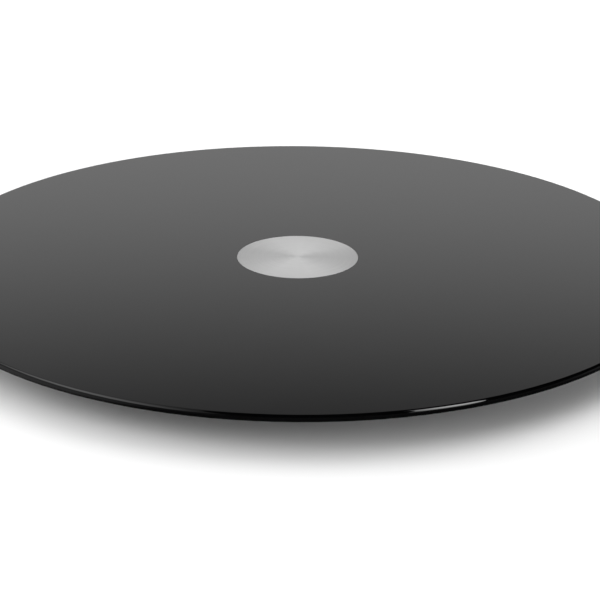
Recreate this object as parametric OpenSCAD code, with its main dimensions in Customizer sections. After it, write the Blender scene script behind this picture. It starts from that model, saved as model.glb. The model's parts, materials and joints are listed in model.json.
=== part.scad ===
// Round glass turntable: a heavy black glass plate with a brushed metal hub, turning on a
// wide ring of caged balls above a low round base. Millimetres, +Z up, with the turning
// axis on Z and the feet standing on z = 0.

/* [Plate] */
// Diameter of the glass plate
plate_d = 460; // [400:5:600]
// Thickness of the glass plate
plate_t = 4; // [4:0.5:8]
// Diameter of the brushed hub set in the middle of the glass
hub_d = 74; // [70:1:90]
// Thickness of the rubber that the glass lies on
seat_t = 1.2; // [1:0.1:3]
// Number of rubber pads under the glass
pad_count = 6; // [3:1:8]

/* [Base] */
// Diameter over the trim ring of the base
base_d = 280; // [270:2:320]
// Thickness of the base plate
base_t = 2; // [1.5:0.25:3]
// Number of feet
foot_count = 6; // [3:1:6]
// Diameter of a foot where it meets the base plate
foot_d = 24; // [20:1:26]
// Height of a foot
foot_h = 5.5; // [3.5:0.5:10]

/* [Bearing] */
// Diameter of the circle that the balls run on
race_d = 190; // [180:2:200]
// Ball diameter
ball_d = 6; // [5.5:0.5:7]
// Number of balls in the cage
ball_count = 20; // [12:1:24]
// Thickness of each pressed race
race_t = 2.4; // [2.2:0.1:3]
// Diameter of the spindle
spindle_d = 10; // [8:0.5:11]

/* [Hidden] */
$fn = 96;

// Small gaps
bore_play = 0.01;      // around a part pressed into its bore
running_play = 0.03;   // spindle in its bush, on the radius
ball_play = 0.25;      // ball in its pressed groove, on the radius
pocket_play = 0.15;    // ball in its cage pocket, on the radius
screw_play = 0.05;     // screw or rivet in its own hole, on the radius
glass_play = 0.15;     // hub in the hole of the glass, on the radius
through_play = 0.1;    // screw in a part that it only passes through, on the radius
end_play = 0.3;        // past the end of a screw or spindle in its blind hole
turn_play = 0.05;      // between faces that turn against each other
thread_play = 0.5;     // from the end of a screw to the far face of what it is screwed into
overlap = 0.01;        // how far a cutter runs past a face

// Heights, from the floor up
carrier_t = 1.6;
race_gap = 0.6 * ball_d;
z_base = foot_h;
z_lower_race = z_base + base_t;
z_lower_top = z_lower_race + race_t;
z_ball = z_lower_top + race_gap / 2;
z_upper_race = z_lower_top + race_gap;
z_carrier = z_upper_race + race_t;
z_seat = z_carrier + carrier_t;
z_glass = z_seat + seat_t;
z_top = z_glass + plate_t;

// Plate, hub and the rubber under the glass
hub_r = hub_d / 2;
hub_edge = 0.12;
hub_spigot_r = 11.95;
hub_screw_circle = 27;
hub_screw_count = 4;
hub_thread_l = 3.6;
gasket_in = hub_r + 0.5;
gasket_out = hub_r + 17.5;
pad_r = 9;
pad_circle = 125;
pad_edge = 0.25;

// Carrier plate and base
carrier_r = base_d / 2 - 1;
carrier_hole_r = hub_spigot_r + screw_play;
base_r = base_d / 2 - 2.2;
base_hole_r = 10;

// Trim ring
trim_r = base_d / 2;
trim_wall = 1.8;
trim_skirt = 0.6;            // how far the wall hangs below the base plate
trim_top = z_carrier - 1.1;
trim_round = trim_wall / 2;
trim_shelf_w = 7.2;
trim_shelf_t = 3;
trim_screw_circle = trim_r - 5.5;
trim_screw_count = 6;

// Races, cage and the rivets that hold the races
race_r = race_d / 2;
groove_r = ball_d / 2 + ball_play;
race_in = race_r - 11;
race_out = race_r + 13;
rivet_circle = race_r + 8.5;
rivet_count = 6;
rivet_r = 1.5;
rivet_head_r = 2.8;
rivet_head_h = 0.95;
rivet_sink_h = 1.1;
cage_w = 10;
cage_t = 0.4 * ball_d;

// Spindle, bush and the parts that keep the plate from lifting off
spindle_r = spindle_d / 2;
spindle_bottom = z_base + 0.4;
spindle_top = z_top - 2.2;
spindle_edge = 0.5;
housing_flange_r = 22;
housing_flange_t = 1.5;
housing_r = 11;
housing_foot = 1;            // size of the bevel between its wall and its flange
housing_top = z_carrier - 0.8;
housing_recess_r = 9.5;
housing_screw_circle = 17;
housing_screw_count = 4;
bush_r = 7;
bush_flange_r = 9;
bush_flange_t = 1;
z_bush = z_lower_race + 1;
z_bush_sleeve = z_bush + bush_flange_t;
washer_r = 8.5;
washer_t = 0.8;
washer_play = 0.15;
z_washer = z_bush - turn_play - washer_t;
clip_t = 1;
z_clip = z_washer - turn_play - clip_t;
clip_in = spindle_r - 0.15;
clip_out = spindle_r + 1.7;
clip_lug_r = 1.3;
clip_lug_circle = spindle_r + 2;
clip_lug_angle = 22;
clip_gap_w = 2.4;
clip_eye_r = 0.6;
clip_groove_r = spindle_r - 0.2;
clip_groove_h = clip_t + 2 * turn_play;

// Cap over the hole in the base plate
cap_r = 15;
cap_t = 1;
cap_spigot_out = base_hole_r - 0.1;
cap_spigot_in = base_hole_r - 1;
cap_spigot_h = 1.2;

// Feet
foot_r = foot_d / 2;
foot_taper = 0.8;
foot_circle = trim_r - 18;
foot_recess_r = 4.5;
foot_recess_h = 0.62 * foot_h;
foot_groove_w = 0.8;
foot_groove_h = 0.5;
foot_groove_circles = [6.9, 9.1];

// Screws: [shank radius, head radius, head height]
m3 = [1.5, 2.8, 1.6];
m4 = [2, 3.9, 1.8];
cross_w = 0.22;              // width of a screw's cross recess, as a share of the head radius
cross_l = 1.1;               // its length, as a share of the head radius
cross_h = 0.55;              // its depth, as a share of the head height
crown = 1.12;                // radius of its domed top, as a share of a full dome's
foot_screw_l = foot_h - foot_recess_h + base_t;
hub_screw_l = carrier_t + hub_thread_l;
trim_screw_l = base_t + trim_shelf_t - thread_play;
housing_screw_l = housing_flange_t + base_t - thread_play;

// Puts its children at one of count even places on a circle, turned by lead degrees.
module at_place(i, count, radius, lead = 0) {
    rotate([0, 0, 360 * (i - 1) / count + lead]) translate([radius, 0, 0]) children();
}

module at_places(count, radius, lead = 0) {
    for (i = [1:count]) at_place(i, count, radius, lead) children();
}

// An upright hole of radius r from z0 to z1, open at both ends.
module hole(r, z0, z1) {
    translate([0, 0, z0 - overlap]) cylinder(r = r, h = z1 - z0 + 2 * overlap);
}

// A flat ring from radius r0 to r1 and from z0 to z1.
module ring(r0, r1, z0, z1) {
    difference() {
        translate([0, 0, z0]) cylinder(r = r1, h = z1 - z0);
        hole(r0, z0, z1);
    }
}

// A pan head screw that stands head down: the underside of its head is at z = 0 and its
// shank points up.
module pan_screw(size, shank_l) {
    shank_r = size[0];
    head_r = size[1];
    head_h = size[2];
    crown_r = crown * (head_r * head_r + head_h * head_h) / (2 * head_h);
    difference() {
        union() {
            intersection() {
                translate([0, 0, -head_h]) cylinder(r = head_r, h = head_h);
                translate([0, 0, crown_r - head_h]) sphere(r = crown_r);
            }
            cylinder(r = shank_r - screw_play, h = shank_l);
        }
        for (turn = [0, 90]) rotate([0, 0, turn])
            translate([-cross_l * head_r / 2, -cross_w * head_r / 2, -head_h - overlap])
                cube([cross_l * head_r, cross_w * head_r, cross_h * head_h + overlap]);
    }
}

// A rivet from z = 0, where its flat head lies flush in a countersink, up to its domed head
// on a face at z = grip.
module rivet(grip) {
    shank_r = rivet_r - screw_play;
    dome_r = (rivet_head_r * rivet_head_r + rivet_head_h * rivet_head_h) / (2 * rivet_head_h);
    cylinder(r = shank_r, h = grip + overlap);
    cylinder(r1 = rivet_head_r - screw_play, r2 = shank_r, h = rivet_sink_h);
    translate([0, 0, grip]) intersection() {
        translate([0, 0, rivet_head_h - dome_r]) sphere(r = dome_r);
        cylinder(r = rivet_head_r, h = rivet_head_h);
    }
}

// The hole in a race for the flush end of a rivet, with its countersunk face at z = 0.
module rivet_sink() {
    translate([0, 0, -overlap]) cylinder(r = rivet_r, h = race_t + 2 * overlap);
    cylinder(r1 = rivet_head_r, r2 = rivet_r, h = rivet_sink_h);
    translate([0, 0, -overlap]) cylinder(r = rivet_head_r, h = 2 * overlap);
}

// One pressed race, groove up, with its flat back on z = 0. The ball circle's centre lies
// half the race gap above its face.
module race() {
    difference() {
        ring(race_in, race_out, 0, race_t);
        rotate_extrude() translate([race_r, race_t + race_gap / 2]) circle(r = groove_r);
        at_places(rivet_count, rivet_circle) translate([0, 0, race_t]) mirror([0, 0, 1])
            rivet_sink();
    }
}

// Turning parts

module glass_plate() {
    edge_r = plate_t / 2;
    hole_r = hub_r + glass_play;
    color("#101114") translate([0, 0, z_glass]) rotate_extrude() {
        translate([hole_r, 0]) square([plate_d / 2 - edge_r - hole_r, plate_t]);
        translate([plate_d / 2 - edge_r, edge_r]) circle(r = edge_r);
    }
}

module hub() {
    color("#b9babc") difference() {
        union() {
            translate([0, 0, z_seat]) cylinder(r = hub_r, h = z_top - z_seat - hub_edge);
            translate([0, 0, z_top - hub_edge]) cylinder(r1 = hub_r, r2 = hub_r - hub_edge, h = hub_edge);
            translate([0, 0, z_carrier]) cylinder(r = hub_spigot_r, h = carrier_t + overlap);
        }
        hole(spindle_r + bore_play, z_carrier, spindle_top);
        at_places(hub_screw_count, hub_screw_circle)
            hole(m4[0], z_seat, z_carrier + hub_screw_l + end_play);
    }
}

module hub_gasket() {
    color("#26262a") ring(gasket_in, gasket_out, z_seat, z_glass);
}

module carrier_plate() {
    color("#8d9094") difference() {
        ring(carrier_hole_r, carrier_r, z_carrier, z_seat);
        at_places(hub_screw_count, hub_screw_circle) hole(m4[0] + through_play, z_carrier, z_seat);
        at_places(rivet_count, rivet_circle) hole(rivet_r, z_carrier, z_seat);
    }
}

module hub_screws() {
    color("#c4c6c9") at_places(hub_screw_count, hub_screw_circle)
        translate([0, 0, z_carrier]) pan_screw(m4, hub_screw_l);
}

module upper_race() {
    color("#9da0a4") translate([0, 0, z_carrier]) mirror([0, 0, 1]) race();
}

module upper_race_rivets() {
    color("#c4c6c9") at_places(rivet_count, rivet_circle)
        translate([0, 0, z_upper_race]) rivet(race_t + carrier_t);
}

module spindle() {
    color("#a8abb0") difference() {
        union() {
            translate([0, 0, spindle_bottom])
                cylinder(r1 = spindle_r - spindle_edge, r2 = spindle_r, h = spindle_edge);
            translate([0, 0, spindle_bottom + spindle_edge])
                cylinder(r = spindle_r, h = spindle_top - end_play - spindle_bottom - spindle_edge);
        }
        ring(clip_groove_r, spindle_r + overlap, z_clip - turn_play, z_clip - turn_play + clip_groove_h);
    }
}

// A snap ring with two eyed lugs on the sides of its gap.
module circlip() {
    color("#55585c") translate([0, 0, z_clip]) difference() {
        union() {
            cylinder(r = clip_out, h = clip_t);
            for (side = [-1, 1]) rotate([0, 0, side * clip_lug_angle])
                translate([clip_lug_circle, 0, 0]) cylinder(r = clip_lug_r, h = clip_t);
        }
        hole(clip_in, 0, clip_t);
        translate([0, -clip_gap_w / 2, -overlap]) cube([2 * clip_out, clip_gap_w, clip_t + 2 * overlap]);
        for (side = [-1, 1]) rotate([0, 0, side * clip_lug_angle])
            translate([clip_lug_circle, 0, 0]) hole(clip_eye_r, 0, clip_t);
    }
}

module thrust_washer() {
    color("#ece7da") ring(spindle_r + washer_play, washer_r, z_washer, z_washer + washer_t);
}

module pad(i) {
    color("#3a3b3e") at_place(i, pad_count, pad_circle) translate([0, 0, z_seat]) {
        cylinder(r = pad_r, h = seat_t - pad_edge);
        translate([0, 0, seat_t - pad_edge]) cylinder(r1 = pad_r, r2 = pad_r - pad_edge, h = pad_edge);
    }
}

// Ball cage, which follows the plate at half its speed

module ball_cage() {
    color("#e9e4d6") difference() {
        ring(race_r - cage_w / 2, race_r + cage_w / 2, z_ball - cage_t / 2, z_ball + cage_t / 2);
        at_places(ball_count, race_r) translate([0, 0, z_ball]) sphere(r = ball_d / 2 + pocket_play);
    }
}

module ball(i) {
    color("#d5d7da") at_place(i, ball_count, race_r) translate([0, 0, z_ball]) sphere(r = ball_d / 2);
}

// Standing parts

module base_plate() {
    color("#1b1c1e") difference() {
        ring(base_hole_r, base_r, z_base, z_lower_race);
        at_places(rivet_count, rivet_circle) hole(rivet_r, z_base, z_lower_race);
        at_places(housing_screw_count, housing_screw_circle, 45) hole(m3[0], z_base, z_lower_race);
        at_places(foot_count, foot_circle) hole(m4[0], z_base, z_lower_race);
        at_places(trim_screw_count, trim_screw_circle, 30) hole(m3[0] + through_play, z_base, z_lower_race);
    }
}

// An upright wall with a round top, and a flat shelf inside it that the base plate is
// screwed up to.
module trim_ring() {
    wall_x = trim_r - trim_wall;
    color("#b4b6b8") difference() {
        rotate_extrude() {
            translate([wall_x, z_base - trim_skirt])
                square([trim_wall, trim_top - trim_round - z_base + trim_skirt]);
            translate([wall_x + trim_round, trim_top - trim_round]) circle(r = trim_round);
            translate([wall_x - trim_shelf_w, z_lower_race])
                square([trim_shelf_w + overlap, trim_shelf_t]);
        }
        at_places(trim_screw_count, trim_screw_circle, 30)
            hole(m3[0], z_lower_race, z_lower_race + trim_shelf_t);
    }
}

module trim_screws() {
    color("#c4c6c9") at_places(trim_screw_count, trim_screw_circle, 30)
        translate([0, 0, z_base]) pan_screw(m3, trim_screw_l);
}

module lower_race() {
    color("#9da0a4") translate([0, 0, z_lower_race]) race();
}

module lower_race_rivets() {
    color("#c4c6c9") at_places(rivet_count, rivet_circle)
        translate([0, 0, z_lower_top]) mirror([0, 0, 1]) rivet(race_t + base_t);
}

module bush_housing() {
    color("#a9abae") difference() {
        union() {
            translate([0, 0, z_lower_race]) cylinder(r = housing_flange_r, h = housing_flange_t);
            translate([0, 0, z_lower_race]) cylinder(r = housing_r, h = housing_top - z_lower_race);
            translate([0, 0, z_lower_race + housing_flange_t])
                cylinder(r1 = housing_r + housing_foot, r2 = housing_r, h = housing_foot);
        }
        hole(bush_r + bore_play, z_lower_race, housing_top);
        hole(housing_recess_r, z_lower_race, z_bush_sleeve - overlap);
        at_places(housing_screw_count, housing_screw_circle, 45)
            hole(m3[0] + through_play, z_lower_race, z_lower_race + housing_flange_t);
    }
}

module housing_screws() {
    color("#c4c6c9") at_places(housing_screw_count, housing_screw_circle, 45)
        translate([0, 0, z_lower_race + housing_flange_t]) mirror([0, 0, 1])
            pan_screw(m3, housing_screw_l);
}

module bush() {
    color("#b08d57") difference() {
        union() {
            translate([0, 0, z_bush]) cylinder(r = bush_flange_r, h = bush_flange_t);
            translate([0, 0, z_bush]) cylinder(r = bush_r, h = housing_top - z_bush);
        }
        hole(spindle_r + running_play, z_bush, housing_top);
    }
}

module bottom_cap() {
    color("#1a1a1c") {
        translate([0, 0, z_base - cap_t]) cylinder(r1 = cap_r - cap_t / 2, r2 = cap_r, h = cap_t / 2);
        translate([0, 0, z_base - cap_t / 2]) cylinder(r = cap_r, h = cap_t / 2);
        ring(cap_spigot_in, cap_spigot_out, z_base - overlap, z_base + cap_spigot_h);
    }
}

// A low rubber foot that narrows to the floor, with round treads and a recess for its screw.
module foot(i) {
    color("#202022") at_place(i, foot_count, foot_circle) difference() {
        cylinder(r1 = foot_r - foot_taper, r2 = foot_r, h = foot_h);
        hole(m4[0] + through_play, 0, foot_h);
        hole(foot_recess_r, 0, foot_recess_h - overlap);
        for (r = foot_groove_circles)
            ring(r - foot_groove_w / 2, r + foot_groove_w / 2, -overlap, foot_groove_h);
    }
}

module foot_screws() {
    color("#c4c6c9") at_places(foot_count, foot_circle)
        translate([0, 0, foot_recess_h]) pan_screw(m4, foot_screw_l);
}

glass_plate();
hub();
hub_gasket();
carrier_plate();
hub_screws();
upper_race();
upper_race_rivets();
spindle();
circlip();
thrust_washer();
for (i = [1:pad_count]) pad(i);
ball_cage();
for (i = [1:ball_count]) ball(i);
base_plate();
trim_ring();
trim_screws();
lower_race();
lower_race_rivets();
bush_housing();
housing_screws();
bush();
bottom_cap();
foot_screws();
for (i = [1:foot_count]) foot(i);
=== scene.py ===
import json
import math

import bpy
from mathutils import Matrix, Vector


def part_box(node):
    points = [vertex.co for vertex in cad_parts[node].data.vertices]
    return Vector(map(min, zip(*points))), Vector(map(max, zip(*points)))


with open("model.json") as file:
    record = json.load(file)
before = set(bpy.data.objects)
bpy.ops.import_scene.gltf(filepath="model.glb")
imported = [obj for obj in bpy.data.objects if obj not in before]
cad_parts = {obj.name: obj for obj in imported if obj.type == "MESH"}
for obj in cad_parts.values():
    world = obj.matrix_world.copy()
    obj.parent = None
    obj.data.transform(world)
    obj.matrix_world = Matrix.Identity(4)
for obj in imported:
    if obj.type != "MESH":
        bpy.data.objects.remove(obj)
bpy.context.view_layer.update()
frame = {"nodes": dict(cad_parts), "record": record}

# Places worked out from the frame, in metres.
TOP_CENTRE = Vector((0, 0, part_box("glass_plate")[1].z))
HUB_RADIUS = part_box("hub")[1].x

# Camera: where it stands from the centre of the glass top, and how it is turned.
CAMERA_DISTANCE = 1.1845
CAMERA_ELEVATION = math.radians(20.42)
CAMERA_PITCH = math.radians(21.71)
CAMERA_YAW = math.radians(0.087)
CAMERA_ROLL = math.radians(0.437)
LENS_MM = 116.1
SENSOR_MM = 36.0

# Floor, a white board much wider than the object.
FLOOR_SIZE = 30.0
FLOOR_WHITE = 0.85
FLOOR_SPECKLE = 0.004

# Soft light on the floor and on matt pieces, from round banks far away. Each has a heading in
# degrees from +Y towards +X, a height in degrees, a sharpness and a radiance.
SKY_BANKS = {
    "back": (0, 45, 3, 1.9),
    "front_left": (-135, 40, 10, 2.5),
    "front_right": (135, 15, 30, 7),
    "left": (-75, 10, 30, 8),
}

# What glossy surfaces reflect, by parts of a unit direction. Each fades from one value to
# another between two places: [place, place, value, value].
BACKDROP_BY_HEIGHT = (0.30, 0.49, 0.745, 0.0)
BACKDROP_BY_DEPTH = (-0.3, 0.7, 0.12, 1.0)
GROUND_BY_DEPTH = (0.65, 0.9, 0.03, 0.6)
LEFT_WALL = (-0.55, -1.0, 0.0, 0.42)
HORIZON = (-0.02, 0.02, 0.0, 1.0)

# Nearly all values of a noise texture lie between these two.
NOISE_LOW = 0.3
NOISE_HIGH = 0.7

# Turns the stretch of a highlight from along the turning marks to across them.
QUARTER_TURN = 0.25

UP = Vector((0, 0, 1))
AHEAD = Vector((0, 1, 0))


class Graph:
    """Adds nodes to one node tree and links them."""

    def __init__(self, tree):
        self.tree = tree

    def add(self, kind, inputs=None, **settings):
        node = self.tree.nodes.new(kind)
        for key, value in settings.items():
            setattr(node, key, value)
        for key, value in (inputs or {}).items():
            self.put(node.inputs[key], value)
        return node

    def put(self, socket, value):
        if isinstance(value, bpy.types.NodeSocket):
            self.tree.links.new(value, socket)
        else:
            socket.default_value = value

    def math(self, operation, first, second=0.0):
        return self.add("ShaderNodeMath", {0: first, 1: second}, operation=operation).outputs[0]

    def map_range(self, value, low, high, to_low, to_high, smooth=False):
        kind = "SMOOTHSTEP" if smooth else "LINEAR"
        inputs = {"Value": value, "From Min": low, "From Max": high, "To Min": to_low, "To Max": to_high}
        return self.add("ShaderNodeMapRange", inputs, interpolation_type=kind).outputs["Result"]

    def grey(self, value):
        return self.add("ShaderNodeCombineXYZ", {0: value, 1: value, 2: value}).outputs[0]

    def mix(self, factor, first, second):
        node = self.add("ShaderNodeMix", data_type="RGBA")
        self.put(node.inputs["Factor"], factor)
        self.put(node.inputs["A"], first)
        self.put(node.inputs["B"], second)
        return node.outputs["Result"]


def rgb(r, g, b):
    return (r, g, b, 1.0)


class Surface(Graph):
    """A material whose Principled shader is driven by noise in the piece's own coordinates."""

    def __init__(self, name, colour, roughness, metallic=0.0):
        self.material = bpy.data.materials.new(name)
        self.material.use_nodes = True
        super().__init__(self.material.node_tree)
        self.shader = self.tree.nodes["Principled BSDF"]
        self.set("Base Color", colour)
        self.set("Roughness", roughness)
        self.set("Metallic", metallic)
        self.place = self.add("ShaderNodeTexCoord").outputs["Object"]

    def set(self, socket, value):
        self.put(self.shader.inputs[socket], value)

    def noise(self, scale, detail=2.0):
        """Noise from 0 to 1, with scale features a metre."""
        inputs = {"Vector": self.place, "Scale": scale, "Detail": detail}
        return self.add("ShaderNodeTexNoise", inputs).outputs["Fac"]

    def from_axis(self):
        """The heading from the turning axis as a level vector, the distance from it, and height."""
        x, y, z = self.add("ShaderNodeSeparateXYZ", {0: self.place}).outputs
        flat = self.add("ShaderNodeCombineXYZ", {0: x, 1: y}).outputs[0]
        heading = self.add("ShaderNodeVectorMath", {0: flat}, operation="NORMALIZE").outputs["Vector"]
        distance = self.add("ShaderNodeVectorMath", {0: flat}, operation="LENGTH").outputs["Value"]
        return heading, distance, z

    def rings(self, across, around=2.0, detail=3.0, along_z=False):
        """Noise in fine rings round the turning axis, with across lines a metre, outward or up."""
        heading, distance, z = self.from_axis()
        lines = self.math("MULTIPLY", z if along_z else distance, across)
        inputs = {"Vector": heading, "W": lines, "Scale": around, "Detail": detail}
        return self.add("ShaderNodeTexNoise", inputs, noise_dimensions="4D").outputs["Fac"]

    def spread(self, noise, least, most):
        """Noise stretched so that nearly all of it runs from least to most."""
        return self.map_range(noise, NOISE_LOW, NOISE_HIGH, least, most)

    def vary_colour(self, noise, dark, light):
        self.set("Base Color", self.mix(self.spread(noise, 0.0, 1.0), dark, light))

    def vary_roughness(self, noise, least, most):
        self.set("Roughness", self.spread(noise, least, most))

    def bump(self, height, distance):
        inputs = {"Height": height, "Distance": distance, "Strength": 1.0}
        self.set("Normal", self.add("ShaderNodeBump", inputs).outputs["Normal"])

    def brush_round(self, amount):
        """Stretches highlights outward by amount, as fine turning marks round the axis do."""
        tangent = self.add("ShaderNodeTangent", direction_type="RADIAL", axis="Z")
        self.set("Tangent", tangent.outputs[0])
        self.set("Anisotropic", amount)
        self.set("Anisotropic Rotation", QUARTER_TURN)


def black_glass():
    s = Surface("black_glass", rgb(0.0008, 0.0008, 0.0008), 0.03)
    s.set("IOR", 1.5)
    s.vary_roughness(s.noise(9.0, 5.0), 0.012, 0.035)
    s.vary_colour(s.noise(40.0, 3.0), rgb(0.0005, 0.0005, 0.0006), rgb(0.0011, 0.0011, 0.0012))
    return s.material


def hub_metal():
    """Turned metal with faint rays, rougher towards its middle, with a painted highlight that makes its
    colour a little brighter towards the middle.
    """
    s = Surface("hub_metal", rgb(0.53, 0.53, 0.53), 0.6, 1.0)
    heading, distance, _height = s.from_axis()
    # Painted highlight: the colour grows a little brighter towards the middle, where the streaks of
    # reflected light meet.
    level = s.map_range(distance, 0.0, HUB_RADIUS, 0.57, 0.53)
    marks = s.spread(s.rings(1400.0, 1.0), 0.93, 1.0)
    by_heading = s.add("ShaderNodeTexNoise", {"Vector": heading, "Scale": 2.5, "Detail": 2.0})
    rays = s.spread(by_heading.outputs["Fac"], 0.96, 1.0)
    s.set("Base Color", s.grey(s.math("MULTIPLY", level, s.math("MULTIPLY", marks, rays))))
    fine = s.rings(9000.0, 1.5)
    rough = s.map_range(distance, 0.0, HUB_RADIUS, 0.78, 0.62)
    s.set("Roughness", s.math("ADD", rough, s.spread(fine, -0.04, 0.05)))
    s.bump(fine, 0.000002)
    s.brush_round(0.4)
    return s.material


def turned_steel(name, dark, light, roughness=0.28, along_z=False):
    s = Surface(name, light, roughness, 1.0)
    fine = s.rings(5000.0, 2.0, along_z=along_z)
    s.vary_colour(s.rings(700.0, 3.0, along_z=along_z), dark, light)
    s.vary_roughness(fine, roughness - 0.06, roughness + 0.08)
    s.bump(fine, 0.000003)
    s.brush_round(0.5)
    return s.material


def zinc(name, dark, light):
    s = Surface(name, light, 0.3, 1.0)
    s.vary_colour(s.noise(180.0, 4.0), dark, light)
    s.vary_roughness(s.noise(600.0, 3.0), 0.22, 0.42)
    s.bump(s.noise(2500.0, 2.0), 0.000004)
    return s.material


def ball_steel():
    s = Surface("ball_steel", rgb(0.82, 0.83, 0.84), 0.06, 1.0)
    s.vary_roughness(s.noise(1500.0, 3.0), 0.04, 0.12)
    s.vary_colour(s.noise(700.0, 2.0), rgb(0.78, 0.79, 0.8), rgb(0.86, 0.87, 0.88))
    return s.material


def powder_coat():
    s = Surface("powder_coat", rgb(0.02, 0.02, 0.021), 0.5)
    s.vary_colour(s.noise(60.0, 4.0), rgb(0.017, 0.017, 0.018), rgb(0.027, 0.027, 0.028))
    s.vary_roughness(s.noise(900.0, 2.0), 0.42, 0.58)
    s.bump(s.noise(1100.0, 2.0), 0.00005)
    return s.material


def rubber(name, dark, light):
    s = Surface(name, dark, 0.8)
    s.vary_colour(s.noise(300.0, 5.0), dark, light)
    s.vary_roughness(s.noise(1500.0, 2.0), 0.7, 0.9)
    s.bump(s.noise(2600.0, 2.0), 0.00003)
    s.set("Specular IOR Level", 0.35)
    return s.material


def plastic(name, dark, light, roughness):
    s = Surface(name, dark, roughness)
    s.vary_colour(s.noise(250.0, 3.0), dark, light)
    s.vary_roughness(s.noise(900.0, 2.0), roughness - 0.06, roughness + 0.06)
    s.bump(s.noise(3500.0, 2.0), 0.00001)
    return s.material


def bronze():
    s = Surface("bronze", rgb(0.52, 0.36, 0.2), 0.42, 1.0)
    s.vary_colour(s.noise(2200.0, 3.0), rgb(0.3, 0.2, 0.11), rgb(0.6, 0.42, 0.24))
    s.vary_roughness(s.noise(1200.0, 2.0), 0.34, 0.55)
    s.bump(s.noise(3000.0, 2.0), 0.00001)
    return s.material


def cast_aluminium():
    s = Surface("cast_aluminium", rgb(0.6, 0.6, 0.61), 0.45, 1.0)
    s.vary_colour(s.noise(400.0, 4.0), rgb(0.5, 0.5, 0.51), rgb(0.64, 0.64, 0.65))
    s.vary_roughness(s.noise(1400.0, 2.0), 0.38, 0.56)
    s.bump(s.noise(1800.0, 3.0), 0.00002)
    return s.material


def floor_board():
    s = Surface("floor_board", rgb(FLOOR_WHITE, FLOOR_WHITE, FLOOR_WHITE), 0.9)
    level = s.spread(s.noise(5.0), FLOOR_WHITE - FLOOR_SPECKLE, FLOOR_WHITE + FLOOR_SPECKLE)
    s.set("Base Color", s.grey(level))
    s.set("Specular IOR Level", 0.0)
    return s.material


def paint_nodes():
    """Gives every CAD node its material, by the record's material slots."""
    slots = {
        "black_glass": black_glass(),
        "hub_aluminium": hub_metal(),
        "seat_rubber": rubber("seat_rubber", rgb(0.03, 0.03, 0.032), rgb(0.05, 0.05, 0.052)),
        "carrier_steel": zinc("carrier_zinc", rgb(0.4, 0.41, 0.43), rgb(0.55, 0.56, 0.57)),
        "race_steel": turned_steel("race_steel", rgb(0.42, 0.43, 0.44), rgb(0.58, 0.59, 0.6)),
        "ball_steel": ball_steel(),
        "cage_nylon": plastic("cage_nylon", rgb(0.68, 0.63, 0.52), rgb(0.76, 0.72, 0.62), 0.45),
        "washer_nylon": plastic("washer_nylon", rgb(0.7, 0.66, 0.56), rgb(0.78, 0.74, 0.65), 0.4),
        "spindle_steel": turned_steel(
            "spindle_steel", rgb(0.5, 0.51, 0.52), rgb(0.66, 0.67, 0.68), 0.2, along_z=True),
        "clip_steel": plastic("clip_phosphate", rgb(0.03, 0.03, 0.032), rgb(0.07, 0.068, 0.068), 0.5),
        "bush_bronze": bronze(),
        "housing_aluminium": cast_aluminium(),
        "base_paint": powder_coat(),
        "trim_aluminium": turned_steel(
            "trim_aluminium", rgb(0.62, 0.62, 0.63), rgb(0.74, 0.74, 0.75), 0.3, along_z=True),
        "screw_zinc": zinc("screw_zinc", rgb(0.52, 0.53, 0.55), rgb(0.72, 0.73, 0.74)),
        "cap_plastic": plastic("cap_plastic", rgb(0.016, 0.016, 0.017), rgb(0.026, 0.026, 0.028), 0.5),
        "foot_rubber": rubber("foot_rubber", rgb(0.02, 0.02, 0.022), rgb(0.045, 0.044, 0.044)),
    }
    for row in frame["record"]["subparts"]:
        node = frame["nodes"][row["node"]]
        node.data.materials.clear()
        node.data.materials.append(slots[row["material_slot"]])


def build_camera():
    data = bpy.data.cameras.new("camera")
    data.lens = LENS_MM
    data.sensor_width = SENSOR_MM
    camera = bpy.data.objects.new("camera", data)
    back = Vector((0, -math.cos(CAMERA_ELEVATION), math.sin(CAMERA_ELEVATION)))
    turn = Matrix.Rotation(-CAMERA_YAW, 4, "Z") @ Matrix.Rotation(math.pi / 2 - CAMERA_PITCH, 4, "X")
    turn = turn @ Matrix.Rotation(CAMERA_ROLL, 4, "Z")
    camera.matrix_world = Matrix.Translation(TOP_CENTRE + back * CAMERA_DISTANCE) @ turn
    bpy.context.scene.collection.objects.link(camera)
    bpy.context.scene.camera = camera


def build_floor():
    half = FLOOR_SIZE / 2
    mesh = bpy.data.meshes.new("floor")
    corners = [(-half, -half, 0), (half, -half, 0), (half, half, 0), (-half, half, 0)]
    mesh.from_pydata(corners, [], [(0, 1, 2, 3)])
    mesh.materials.append(floor_board())
    floor = bpy.data.objects.new("floor", mesh)
    bpy.context.scene.collection.objects.link(floor)
    floor.visible_glossy = False


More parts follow.
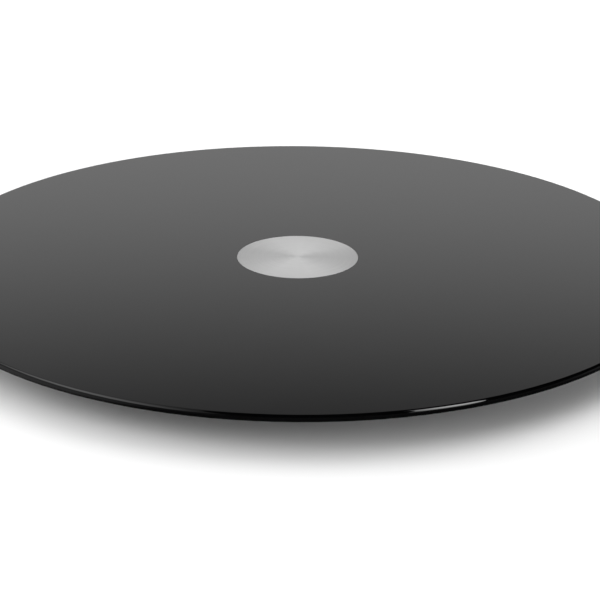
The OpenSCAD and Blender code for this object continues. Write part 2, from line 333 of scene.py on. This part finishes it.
def build_world():
    """White for the camera, a backdrop and a left wall for glossy surfaces, and the sky banks for
    everything else."""
    world = bpy.data.worlds.new("studio")
    world.use_nodes = True
    bpy.context.scene.world = world
    g = Graph(world.node_tree)
    direction = g.add("ShaderNodeTexCoord").outputs["Generated"]
    x, y, z = g.add("ShaderNodeSeparateXYZ", {0: direction}).outputs
    backdrop = g.math("MULTIPLY", g.map_range(z, *BACKDROP_BY_HEIGHT, smooth=True),
                      g.map_range(y, *BACKDROP_BY_DEPTH, smooth=True))
    ground = g.map_range(y, *GROUND_BY_DEPTH, smooth=True)
    mirrored = g.mix(g.map_range(z, *HORIZON), g.grey(ground), g.grey(backdrop))
    wall = g.grey(g.map_range(x, *LEFT_WALL, smooth=True))
    mirrored = g.add("ShaderNodeVectorMath", {0: mirrored, 1: wall}, operation="ADD").outputs[0]
    level = 0.0
    for turn, rise, sharpness, radiance in SKY_BANKS.values():
        bank = Matrix.Rotation(-math.radians(turn), 3, "Z") @ Matrix.Rotation(math.radians(rise), 3, "X")
        towards = g.add("ShaderNodeVectorMath", {0: direction, 1: bank @ AHEAD}, operation="DOT_PRODUCT")
        off = g.math("MULTIPLY", g.math("SUBTRACT", towards.outputs["Value"], 1.0), sharpness)
        level = g.math("ADD", level, g.math("MULTIPLY", g.math("EXPONENT", off), radiance / FLOOR_WHITE))
    path = g.add("ShaderNodeLightPath")
    lit = g.mix(path.outputs["Is Glossy Ray"], g.grey(level), mirrored)
    seen = g.mix(path.outputs["Is Camera Ray"], lit, rgb(1.0, 1.0, 1.0))
    g.put(world.node_tree.nodes["Background"].inputs["Color"], seen)


def softbox(name, centre, run, back, size, radiance, rim, peak=(0.5, 0.5), spread=(0.5, 0.5)):
    """A rectangular light at centre, its long side along run and its back turned to back. It has
    the given radiance at peak, a place given as shares of its sides, and rim times that from
    spread away."""
    data = bpy.data.lights.new(name, "AREA")
    data.shape = "RECTANGLE"
    data.size, data.size_y = size
    data.energy = math.pi * data.size * data.size_y * radiance
    data.use_nodes = True
    g = Graph(data.node_tree)
    place = g.add("ShaderNodeNewGeometry").outputs["Parametric"]
    across, along, _unused = g.add("ShaderNodeSeparateXYZ", {0: place}).outputs
    falls = []
    for share, middle, reach in zip((across, along), peak, spread):
        off = g.math("ABSOLUTE", g.math("SUBTRACT", share, middle))
        falls.append(g.map_range(off, 0.0, reach, 1.0, rim, smooth=True))
    g.put(data.node_tree.nodes["Emission"].inputs["Strength"], g.math("MULTIPLY", *falls))
    light = bpy.data.objects.new(name, data)
    long_side = run.normalized()
    away = (back - long_side * back.dot(long_side)).normalized()
    axes = Matrix((long_side.cross(away), long_side, away)).transposed().to_4x4()
    light.matrix_world = Matrix.Translation(centre) @ axes
    light.visible_camera = False
    light.visible_diffuse = False
    bpy.context.scene.collection.objects.link(light)
    return light


def only_for(light, names):
    """Lets a light reach only the named CAD nodes."""
    group = bpy.data.collections.new(light.name + "_receivers")
    for name in sorted(names):
        group.objects.link(frame["nodes"][name])
    light.light_linking.receiver_collection = group


def light_plate():
    """A tall softbox on the right gives the long highlight on the glass edge, and a wide one on
    the left the faint band on the other side."""
    right = Vector((0.81, -0.42, 1.432))
    key = softbox("right_softbox", right, run=Vector((0.03, -0.65, -0.76)), back=right,
                  size=(0.43, 1.9), radiance=9.1, rim=0.16, peak=(0.42, 0.5), spread=(0.9, 0.62))
    only_for(key, set(frame["nodes"]) - {"hub"})
    softbox("left_softbox", Vector((-1.31, 0.1, 1.5)), run=Vector((0.134, 0.991, 0)), back=UP,
            size=(1.9, 4.4), radiance=2.1, rim=0.1, peak=(0.63, 0.5), spread=(0.4, 0.5))


def light_hub():
    """Two softboxes for the metal disc alone, which draw its two broad streaks."""
    right = Vector((0.75, 0.45, 1.25))
    key = softbox("hub_right_softbox", right, run=Vector((0.45, -0.75, 0)), back=right,
                  size=(0.7, 1.2), radiance=3.6, rim=0.5)
    only_for(key, {"hub"})
    above = softbox("hub_top_softbox", Vector((0, -0.2, 1.2)), run=AHEAD, back=UP,
                    size=(1.8, 2.4), radiance=1.7, rim=0.6)
    only_for(above, {"hub"})


def light_base():
    """A faint light just over the floor, for the bounce that the floor gives the base."""
    bounce = softbox("floor_bounce", Vector((0, 0, 0.0005)), run=AHEAD, back=-UP,
                     size=(2.4, 2.4), radiance=0.6, rim=1.0)
    only_for(bounce, set(frame["nodes"]) - {"hub", "glass_plate"})


def main():
    build_camera()
    build_floor()
    build_world()
    light_plate()
    light_hub()
    light_base()
    paint_nodes()
    bpy.context.scene.view_settings.view_transform = "Standard"


main()
